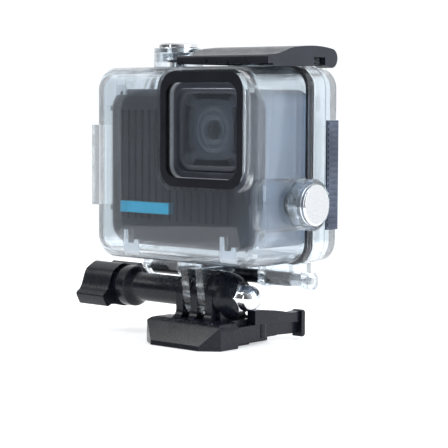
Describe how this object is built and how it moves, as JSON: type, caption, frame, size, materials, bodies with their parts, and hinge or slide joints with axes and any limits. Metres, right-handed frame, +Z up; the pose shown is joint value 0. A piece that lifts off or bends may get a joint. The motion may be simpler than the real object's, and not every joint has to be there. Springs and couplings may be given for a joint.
{
  "type": "action camera",
  "caption": "Compact action camera in a clear latched waterproof housing with press-through buttons, tilting on a thumb-screw clamp and quick-release buckle.",
  "frame": {"origin": "centre of the buckle's flat underside, below the middle of the clamp fingers", "axes": "+Z up, -Y is the direction the lens faces, +X to the right seen from the front, along the clamp bolt towards its nut"},
  "size_m": [0.0901, 0.0486, 0.0923],
  "materials": {
    "accent_blue": "printed",
    "battery_grey": "wrapped cell",
    "camera_slate": "soft-touch moulded",
    "chrome_metal": "mirror polish",
    "circuit_board": "solder mask",
    "clear_plastic": "clear, polished",
    "grip_rubber": "ribbed grey-blue",
    "hinge_black": "satin",
    "lens_black": "satin",
    "lever_black": "satin moulded",
    "mount_black": "satin moulded",
    "optical_glass": "clear, coated",
    "port_black": "satin black print",
    "screen_black": "polished",
    "seal_rubber": "soft matte",
    "sensor_glass": "polished",
    "shutter_red": "satin",
    "steel": "fine satin",
    "trim_grey": "fine turned"
  },
  "bodies": {
    "base": {"buckle_base": "mount_black", "acorn_nut": "chrome_metal"},
    "clamp_screw": {"thumb_screw_knob": "mount_black", "clamp_bolt": "steel"},
    "housing": {"front_shell": "clear_plastic", "port_mask_ring": "port_black", "port_window": "optical_glass", "port_seal": "seal_rubber", "shell_gasket": "seal_rubber", "door_hinge_pin": "steel", "hinge_spring": "steel", "top_button_seal": "seal_rubber", "side_button_seal": "seal_rubber", "top_button_spring": "steel", "side_button_spring": "steel", "camera_front_cover": "camera_slate", "camera_accent_bar": "accent_blue", "camera_body_shell": "camera_slate", "camera_rear_cover": "camera_slate", "camera_side_door": "camera_slate", "lens_bezel": "lens_black", "lens_cover_glass": "optical_glass", "lens_trim_ring": "trim_grey", "lens_front_element": "optical_glass", "lens_barrel": "lens_black", "lens_rear_element": "optical_glass", "image_sensor": "sensor_glass", "main_board": "circuit_board", "battery_pack": "battery_grey", "display_panel": "screen_black", "rear_screen_glass": "screen_black"},
    "door": {"rear_door": "clear_plastic", "door_grips": "grip_rubber", "door_cushions": "seal_rubber", "hinge_sleeves": "hinge_black", "latch_pin": "steel"},
    "latch": {"latch_lever": "lever_black"},
    "top_press": {"top_button": "chrome_metal", "top_button_clip": "steel"},
    "side_press": {"side_button": "chrome_metal", "side_button_clip": "steel"},
    "shutter_press": {"camera_shutter_button": "shutter_red"},
    "mode_press": {"camera_mode_button": "camera_slate"},
    "arm_right": {"release_arm_right": "mount_black"},
    "arm_left": {"release_arm_left": "mount_black"}
  },
  "joints": [
    {"name": "housing_tilt", "type": "hinge", "parent": "base", "child": "housing", "pos_m": [0, 0, 0.015], "axis": [1, 0, 0], "range_deg": [-35, 60]},
    {"name": "clamp_screw_turn", "type": "hinge", "parent": "base", "child": "clamp_screw", "pos_m": [0, 0, 0.015], "axis": [1, 0, 0], "continuous": true},
    {"name": "door_swing", "type": "hinge", "parent": "housing", "child": "door", "pos_m": [0, 0.0083, 0.0209], "axis": [-1, 0, 0], "range_deg": [0, 72]},
    {"name": "latch_lift", "type": "hinge", "parent": "door", "child": "latch", "pos_m": [0.015, 0.0175, 0.0876], "axis": [-1, 0, 0], "range_deg": [0, 100]},
    {"name": "top_button_press", "type": "slide", "parent": "housing", "child": "top_press", "axis": [0, 0, -1], "range_m": [0, 0.001], "stiffness_N_per_m": 400, "springref_m": -0.001, "deforming": ["top_button_spring"]},
    {"name": "side_button_press", "type": "slide", "parent": "housing", "child": "side_press", "axis": [-1, 0, 0], "range_m": [0, 0.001], "stiffness_N_per_m": 400, "springref_m": -0.001, "deforming": ["side_button_spring"]},
    {"name": "shutter_press", "type": "slide", "parent": "housing", "child": "shutter_press", "axis": [0, 0, -1], "range_m": [0, 0.001]},
    {"name": "mode_press", "type": "slide", "parent": "housing", "child": "mode_press", "axis": [-1, 0, 0], "range_m": [0, 0.001]},
    {"name": "arm_right_squeeze", "type": "hinge", "parent": "base", "child": "arm_right", "pos_m": [0.0139, 0.0081, 0.0045], "axis": [0, 0, 1], "range_deg": [0, 4], "stiffness_Nm_per_rad": 0.05, "springref_deg": -2.86},
    {"name": "arm_left_squeeze", "type": "hinge", "parent": "base", "child": "arm_left", "pos_m": [-0.0139, 0.0081, 0.0045], "axis": [0, 0, -1], "range_deg": [0, 4], "stiffness_Nm_per_rad": 0.05, "springref_deg": -2.86}
  ],
  "couplings": [
    {"joint": "shutter_press", "follows": "top_button_press", "ratio": 1},
    {"joint": "mode_press", "follows": "side_button_press", "ratio": 1}
  ]
}
